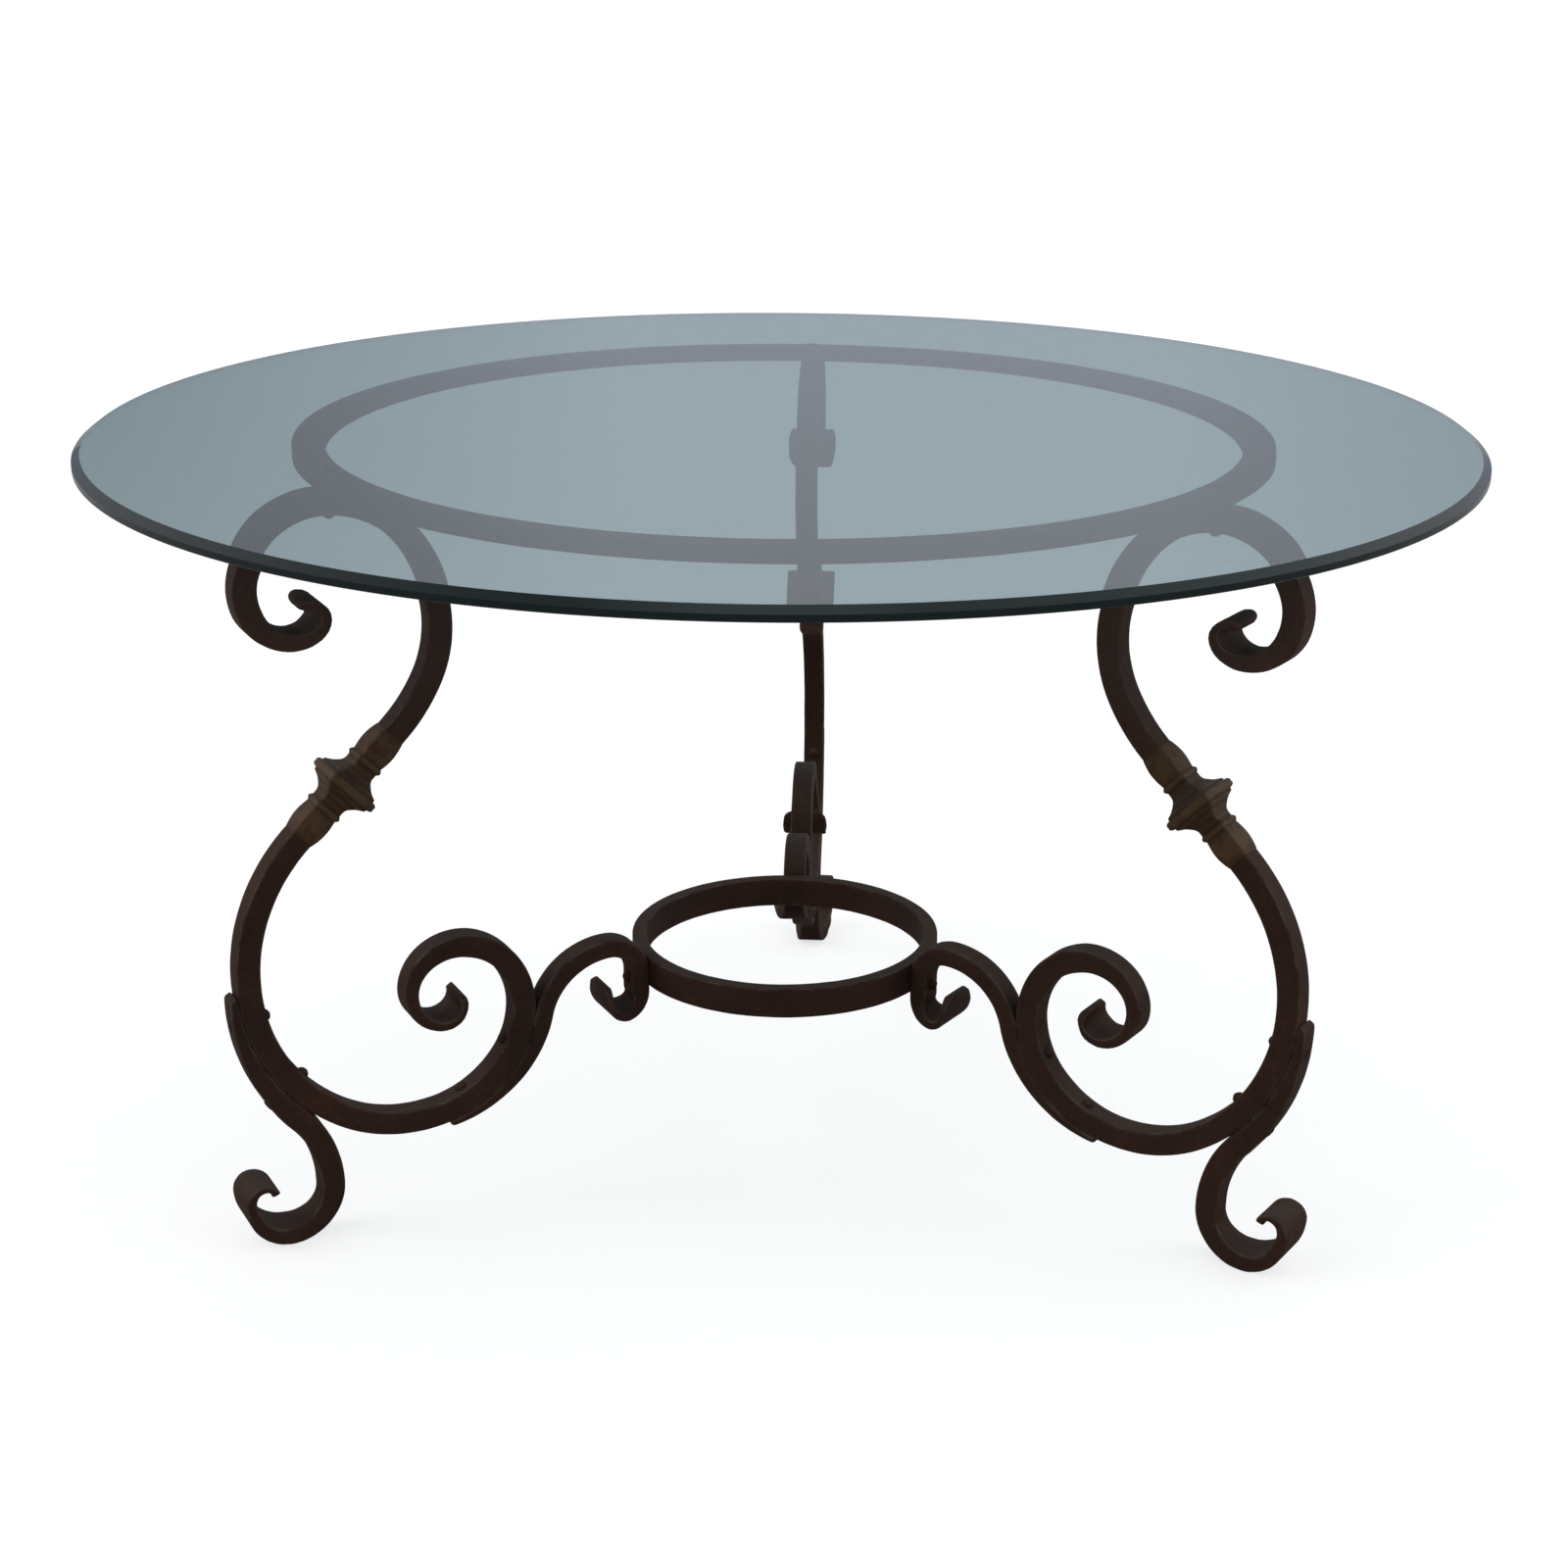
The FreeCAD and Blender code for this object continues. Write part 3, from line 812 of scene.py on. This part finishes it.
def collarProfile():
    # (distance from the flange, size, how proud it stands) from the flange to the open end
    c = collarSizes
    p = collarProud
    stepEnd = c["lip"] + c["stepLength"]
    flareEnd = stepEnd + c["flareLength"]
    beadStart = flareEnd + c["neckLength"]
    beadEnd = beadStart + c["beadLength"]
    sleeve = c["length"] / 2.0 - beadEnd
    rows = [(0.0, c["flange"] - c["crown"], p["crown"]), (c["lip"] - c["lipRound"], c["flange"], p["flange"])]
    for k in range(1, c["steps"] + 1):  # rounded lip of the flange
        t = k / c["steps"]
        turn = math.pi / 2.0 * t
        along = c["lip"] + c["lipRound"] * (math.sin(turn) - 1.0)
        size = c["flange"] - (c["flange"] - c["step"]) * (1.0 - math.cos(turn))
        rows.append((along, size, p["flange"] - p["lipFall"] * t))
    wide = c["step"] - c["stepTaper"]
    rows.append((stepEnd, wide, p["step"]))
    for k in range(1, 3 * c["steps"] + 1):  # hollow flare with soft ridges round it
        t = k / (3.0 * c["steps"])
        ridge = 0.5 + 0.5 * math.cos(2.0 * math.pi * c["ridges"] * t)
        size = wide + (c["neck"] - wide) * t - c["flareHollow"] * 4.0 * t * (1.0 - t)
        size += c["ridge"] * (ridge - 1.0) * (1.0 - t)
        proud = p["flare"] + p["ridge"] * ridge * (1.0 - p["ridgeFade"] * t)
        rows.append((stepEnd + c["flareLength"] * t, size, proud))
    rows.append((beadStart, c["neck"], p["neck"]))
    for k in range(1, c["steps"] + 1):  # bead
        t = k / c["steps"]
        swell = math.sin(math.pi * t)
        size = c["neck"] + c["bead"] * swell
        rows.append((beadStart + c["beadLength"] * t, size, p["beadFoot"] + p["bead"] * swell))
    for k in range(1, 2 * c["steps"] + 1):  # sleeve, drawn down to the bar at its end
        t = k / (2.0 * c["steps"])
        swell = math.sin(math.pi * t)
        size = c["neck"] + (c["endSize"] - c["neck"]) * t**3 + c["belly"] * swell
        rows.append((beadEnd + sleeve * t, size, p["sleeve"] + p["belly"] * swell))
    return rows


def makeCollars():
    rows = collarProfile()
    rows = [(-along, size, proud) for along, size, proud in rows[:0:-1]] + rows
    middle = (collarReach, collarHeight, down)
    points = [linePoint(onward(middle, along, 0.0), size, size, proud=proud) for along, size, proud in rows]
    for k, (leg, azimuth) in enumerate(legAngles.items()):
        piece = forge(
            leg + "Collar", points, collarSizes, collarSizes["seed"] + k, azimuth,
            finish=agedCasting,
        )
        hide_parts(leg + "_collar")


makeCollars()
print("collars cast")


ringSizes = {"points": 240, "arris": 1.4, "sway": 0.7, "dents": 0.35, "ragged": 0.0}


def innerRadius(node):
    return min(Vector((v.co.x, v.co.y)).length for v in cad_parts[node].data.vertices)


def makeRing(name, node, seed):
    low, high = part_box(node)
    outer, inner = high.x / mm, innerRadius(node) / mm
    bottom, top = low.z / mm, high.z / mm
    middle = (inner + outer) / 2.0
    points = []
    for k in range(ringSizes["points"]):
        angle = 2.0 * math.pi * k / ringSizes["points"]
        way = (math.cos(angle), math.sin(angle), 0.0)
        points.append({
            "place": (middle * way[0], middle * way[1], (bottom + top) / 2.0),
            "left": way, "across": (0.0, 0.0, 1.0),
            "thick": outer - inner, "wide": top - bottom, "proud": 0.5,
        })
    piece = forge(name, points, ringSizes, seed, closed=True)
    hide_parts(node)


makeRing("topRing", "top_ring", 21.0)
makeRing("lowerRing", "lower_ring", 22.0)
print("rings bent")


rivetSizes = {
    "radius": 6.0, "height": 5.0, "sink": 1.5, "uneven": 0.06, "peen": 0.3, "peenSink": 0.2,
    "facets": 180.0, "facetDepth": 0.22,
}


def makeRivetTree():
    tree, given, result = newGroup(
        "hammeredRivets", "GeometryNodeTree",
        [("Places", "Geometry", None), ("Radius", "Float", 0.006), ("Height", "Float", 0.005),
         ("Sink", "Float", 0.0015), ("Uneven", "Float", 0.06), ("Seed", "Int", 0),
         ("Finish", "Material", None)],
        [("Piece", "Geometry")],
    )
    # a ball, low above its seat and lower still below it
    ball = addGeo(tree, "MeshIcoSphere", {"Radius": 1.0, "Subdivisions": 4})
    parts = splitVector(tree, addGeo(tree, "InputPosition"))
    above = times(tree, addMath(tree, "MAXIMUM", parts["Z"], 0.0), given["Height"])
    below = times(tree, addMath(tree, "MINIMUM", parts["Z"], 0.0), given["Sink"])
    flatX, flatY = (times(tree, parts[axis], given["Radius"]) for axis in ("X", "Y"))
    shape = joinVector(tree, X=flatX, Y=flatY, Z=plus(tree, above, below))
    head = addGeo(tree, "SetPosition", {"Geometry": ball, "Position": shape})
    # one on each place, turned to its face, no two quite the same size
    facing = {"Vector": readAttribute(tree, "facing", "FLOAT_VECTOR")}
    turn = addNode(tree, "FunctionNodeAlignRotationToVector", facing, axis="Z").outputs["Rotation"]
    least, most = minus(tree, 1.0, given["Uneven"]), plus(tree, 1.0, given["Uneven"])
    spread = {2: least, 3: most, "Seed": given["Seed"]}
    size = addNode(tree, "FunctionNodeRandomValue", spread, data_type="FLOAT").outputs[1]
    scale = joinVector(tree, X=size, Y=size, Z=times(tree, size, readAttribute(tree, "rise")))
    heads = {"Points": given["Places"], "Instance": head, "Rotation": turn, "Scale": scale}
    whole = addGeo(tree, "RealizeInstances", {"Geometry": addGeo(tree, "InstanceOnPoints", heads)})
    # hammered facets
    wobble = addNode(tree, "ShaderNodeTexNoise", {"Scale": rivetSizes["facets"], "Detail": 1.0}).outputs[0]
    push = times(tree, minus(tree, wobble, 0.5), times(tree, given["Radius"], rivetSizes["facetDepth"]))
    push = addVectorMath(tree, "SCALE", addGeo(tree, "InputNormal"), push)
    worked = addGeo(tree, "SetPosition", {"Geometry": whole, "Offset": push})
    smooth = addGeo(tree, "SetShadeSmooth", {"Geometry": worked})
    done = addGeo(tree, "SetMaterial", {"Geometry": smooth, "Material": given["Finish"]})
    tree.links.new(done, result["Piece"])
    return tree


hammeredRivets = makeRivetTree()


def seatOn(state, face, way, rise=1.0):
    # a place on a bar's face, the direction out of it in the plane of a leg, and a share of a head's height
    x, z, heading = aside(state, way * face)
    return (x, z), (-way * math.sin(heading), way * math.cos(heading)), rise


def makeRivets(name, node, seats, seed):
    places, ways, rises = [], [], []
    for (x, z), (wayX, wayZ), rise in seats:
        for azimuth in legAngles.values():
            spin = Matrix.Rotation(math.radians(azimuth), 3, "Z")
            places.append(spin @ Vector((x * mm, 0.0, z * mm)))
            ways.append(spin @ Vector((wayX, 0.0, wayZ)))
            rises.append(rise)
    mesh = bpy.data.meshes.new("places")
    mesh.from_pydata(places, [], [])
    storeVectors(mesh, "facing", ways)
    storeNumbers(mesh, "rise", rises)
    values = {label.capitalize(): rivetSizes[label] * mm for label in ("radius", "height", "sink")}
    values.update({"Uneven": rivetSizes["uneven"], "Seed": seed, "Finish": waxedIron})
    piece = plainPiece(name, addObject("places", mesh), hammeredRivets, values, ("facing", "rise"))
    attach(piece, "base")
    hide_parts(node)


rivetPlaces = {"foot": (60.0, 85.0), "stretcher": (162.0, 201.0), "archLead": 6.5, "belowBend": 6.2}
barFace = legBar["bar"] / 2.0
archSpot = spot(upper, turned(upper, 180.0 - legLower["slope"] - rivetPlaces["archLead"]))
dropSpot = onward(stretcher[-3][0], rivetPlaces["belowBend"], 0.0)


def lapSeats(turns, sizes, full):
    # a head inside the leg, and the peened end on the far side of the piece that laps it
    first, last = (turned(lower, turn) for turn in sizes["lap"])
    seats = []
    for turn in turns:
        along = turned(lower, turn)
        state = spot(lower, along)
        thick = blend(along, ((first, sizes["scarf"]), (last, full)))
        seats.append(seatOn(state, barFace, -1))
        far = barFace + legBar["lapGap"] + thick - rivetSizes["peenSink"]
        seats.append(seatOn(state, far, 1, rivetSizes["peen"]))
    return seats


footSeats = lapSeats(rivetPlaces["foot"], footSizes, legBar["bar"])
stretcherSeats = lapSeats(rivetPlaces["stretcher"], stretcherSizes, stretcherSizes["thick"])
makeRivets("footRivets", "foot_rivets", footSeats, 1)
makeRivets("stretcherRivets", "stretcher_rivets", stretcherSeats, 2)
makeRivets("topRingRivets", "top_ring_rivets", [seatOn(archSpot, barFace, -1)], 3)
makeRivets("lowerRingRivets", "lower_ring_rivets", [seatOn(dropSpot, stretcherSizes["thick"], 1)], 4)
print("rivets set")


def lathe(name, profile, segments, finishes, sharp=(), edgeRows=()):
    # profile of (radius, height) from the axis round to the axis again, sharp rows keep a crisp edge
    work = bmesh.new()
    turns = [2.0 * math.pi * k / segments for k in range(segments)]
    rows = []
    for radius, height in profile:
        if radius == 0.0:
            rows.append([work.verts.new((0.0, 0.0, height))])
            continue
        rows.append([work.verts.new((radius * math.cos(t), radius * math.sin(t), height)) for t in turns])
    for row, (low, high) in enumerate(zip(rows, rows[1:])):
        for k in range(segments):
            corners = [low[k % len(low)], low[(k + 1) % len(low)]]
            corners += [high[(k + 1) % len(high)], high[k % len(high)]]
            face = work.faces.new(list(dict.fromkeys(corners)))
            face.smooth = True
            face.material_index = 1 if row in edgeRows else 0
    for row in sharp:
        ring = rows[row]
        for k in range(segments):
            work.edges.get((ring[k], ring[(k + 1) % segments])).smooth = False
    turnOutward(work)
    mesh = bpy.data.meshes.new(name)
    work.to_mesh(mesh)
    work.free()
    for finish in finishes:
        mesh.materials.append(finish)
    return addObject(name, mesh)


glassSizes = {
    "bevelWide": 8.0, "bevelDeep": 6.0, "seam": 0.7, "segments": 360, "innerRow": 0.5,
    # the edge rows take the darker copy of the glass, painted shade
    "sharpRows": (2, 3, 4, 5), "edgeRows": (2, 3, 4),
}


def makeGlassTop():
    low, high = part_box("glass_top")
    edge = high.x
    inner = edge * glassSizes["innerRow"]
    wide, deep, seam = (glassSizes[key] * mm for key in ("bevelWide", "bevelDeep", "seam"))
    profile = [
        (0.0, low.z), (inner, low.z), (edge - seam, low.z), (edge, low.z + seam),
        (edge, high.z - deep), (edge - wide, high.z), (inner, high.z), (0.0, high.z),
    ]
    # the bevel and rim are given the darker copy of the glass, painted shade
    piece = lathe(
        "glassTop", profile, glassSizes["segments"], (sheetGlass, shadedEdgeGlass),
        glassSizes["sharpRows"], glassSizes["edgeRows"],
    )
    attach(piece, "glass")
    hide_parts("glass_top")


makeGlassTop()


bumperSizes = {"radius": 9.0, "soft": 0.6, "softMiddle": 0.3, "segments": 40}


def makeBumpers():
    low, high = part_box("glass_bumpers")
    reach = (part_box("top_ring")[1].x + innerRadius("top_ring")) / 2.0
    radius, soft = bumperSizes["radius"] * mm, bumperSizes["soft"] * mm
    nip = bumperSizes["softMiddle"] * soft
    profile = [
        (0.0, low.z), (radius - soft, low.z), (radius - nip, low.z + nip), (radius, low.z + soft),
        (radius, high.z - soft), (radius - nip, high.z - nip), (radius - soft, high.z), (0.0, high.z),
    ]
    one = lathe("bumper", profile, bumperSizes["segments"], (clearBumper,))
    work = bmesh.new()
    for azimuth in legAngles.values():
        copy = one.data.copy()
        copy.transform(Matrix.Rotation(math.radians(azimuth), 4, "Z") @ Matrix.Translation((reach, 0.0, 0.0)))
        work.from_mesh(copy)
    mesh = bpy.data.meshes.new("glassBumpers")
    work.to_mesh(mesh)
    work.free()
    mesh.materials.append(clearBumper)
    bpy.data.objects.remove(one)
    piece = addObject("glassBumpers", mesh)
    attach(piece, "base")
    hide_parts("glass_bumpers")


makeBumpers()
print("glass laid on its bumpers")


def seenRays(tree):
    # what the camera sees, by itself or through the glass
    rays = addNode(tree, "ShaderNodeLightPath").outputs
    return addMath(tree, "MAXIMUM", rays["Is Camera Ray"], rays["Is Transmission Ray"])


floorLook = {"size": 60.0, "drop": 0.3, "colour": (0.36, 0.36, 0.36, 1.0), "glow": 0.72}


def makeFloor():
    finish = bpy.data.materials.new("paleFloor")
    finish.use_nodes = True
    tree = finish.node_tree
    tree.nodes.clear()
    matte = addNode(tree, "ShaderNodeBsdfDiffuse", {"Color": floorLook["colour"]}).outputs[0]
    strength = times(tree, seenRays(tree), floorLook["glow"])
    glow = addNode(tree, "ShaderNodeEmission", {"Strength": strength}).outputs[0]
    both = addNode(tree, "ShaderNodeAddShader", {0: matte, 1: glow}).outputs[0]
    addNode(tree, "ShaderNodeOutputMaterial", {"Surface": both})
    mesh = bpy.data.meshes.new("floor")
    half = floorLook["size"] / 2.0
    corners = [(-half, -half, 0.0), (half, -half, 0.0), (half, half, 0.0), (-half, half, 0.0)]
    mesh.from_pydata(corners, [], [(0, 1, 2, 3)])
    mesh.materials.append(finish)
    floor = addObject("floor", mesh)
    floor.location.z = -floorLook["drop"] * mm


roomLook = {
    "wall": (0.382, 0.437, 0.550, 1.0), "ceiling": (0.98, 1.0, 1.0, 1.0), "strength": 1.0,
    "ceilingFrom": ((0.02, 0.0), (0.60, 1.0)),
    "nearToFar": ((0.15, 0.7), (0.55, 1.0)),
    "leftToRight": (
        (0.0, 0.9), (0.30, 0.50), (0.35, 0.52), (0.44, 1.0),
        (0.54, 1.0), (0.60, 0.72), (0.70, 0.8), (1.0, 1.0),
    ),
}


def makeRoom():
    # pale room: grey-blue walls, darker on the near side, a bright ceiling, and white behind the object
    world = bpy.data.worlds.new("room")
    bpy.context.scene.world = world
    world.use_nodes = True
    tree = world.node_tree
    tree.nodes.clear()
    parts = splitVector(tree, addNode(tree, "ShaderNodeTexCoord").outputs["Generated"])
    up = addRamp(tree, parts["Z"], *roomLook["ceilingFrom"])
    room = addMix(tree, up, roomLook["wall"], roomLook["ceiling"])
    for axis, shades in (("Y", "nearToFar"), ("X", "leftToRight")):
        share = addMath(tree, "MULTIPLY_ADD", parts[axis], 0.5, 0.5)
        room = addMix(tree, 1.0, room, addRamp(tree, share, *roomLook[shades]), "MULTIPLY")
    light, white = (
        addNode(tree, "ShaderNodeBackground", {"Color": colour, "Strength": strength}).outputs[0]
        for colour, strength in ((room, roomLook["strength"]), ((1.0, 1.0, 1.0, 1.0), 1.0))
    )
    both = addNode(tree, "ShaderNodeMixShader", {0: seenRays(tree), 1: light, 2: white}).outputs[0]
    addNode(tree, "ShaderNodeOutputWorld", {"Surface": both})


lamps = {
    "leftWindow": {"from": (-2.4, -0.7, 1.9), "strength": 1.15, "angle": 45.0, "colour": (1.0, 0.985, 0.96)},
    "rightWindow": {"from": (2.4, -0.4, 1.6), "strength": 0.75, "angle": 60.0, "colour": (0.97, 0.98, 1.0)},
}


def makeLamps():
    for name, look in lamps.items():
        light = bpy.data.lights.new(name, "SUN")
        light.energy = look["strength"]
        light.color = look["colour"]
        light.angle = math.radians(look["angle"])
        lamp = addObject(name, light)
        lamp.location = look["from"]
        lamp.rotation_euler = (-Vector(look["from"])).to_track_quat("-Z", "Y").to_euler()


# the viewpoint, worked out from the glass, both rings and the legs in a picture 1600 wide
viewpoint = {
    "place": (0.1680, -2.6841, 1.3198), "yaw": -0.0338, "pitch": 0.3318, "roll": 0.0120,
    "picture": 1600.0, "focal": 2794.9, "middleX": 877.3, "sensor": 36.0, "near": 0.05, "far": 200.0,
}


def makeCamera():
    v = viewpoint
    camera = bpy.data.cameras.new("viewpoint")
    camera.sensor_width = v["sensor"]
    camera.lens = v["focal"] / v["picture"] * v["sensor"]
    camera.shift_x = 0.5 - v["middleX"] / v["picture"]
    camera.clip_start = v["near"]
    camera.clip_end = v["far"]
    stand = addObject("viewpoint", camera)
    turn = Matrix.Rotation(-v["yaw"], 4, "Z") @ Matrix.Rotation(math.pi / 2.0 - v["pitch"], 4, "X")
    turn = turn @ Matrix.Rotation(v["roll"], 4, "Z")
    stand.matrix_world = Matrix.Translation(v["place"]) @ turn
    bpy.context.scene.camera = stand


makeFloor()
makeRoom()
makeLamps()
makeCamera()
bpy.context.scene.view_settings.view_transform = "Standard"
print("room, lamps and camera set")
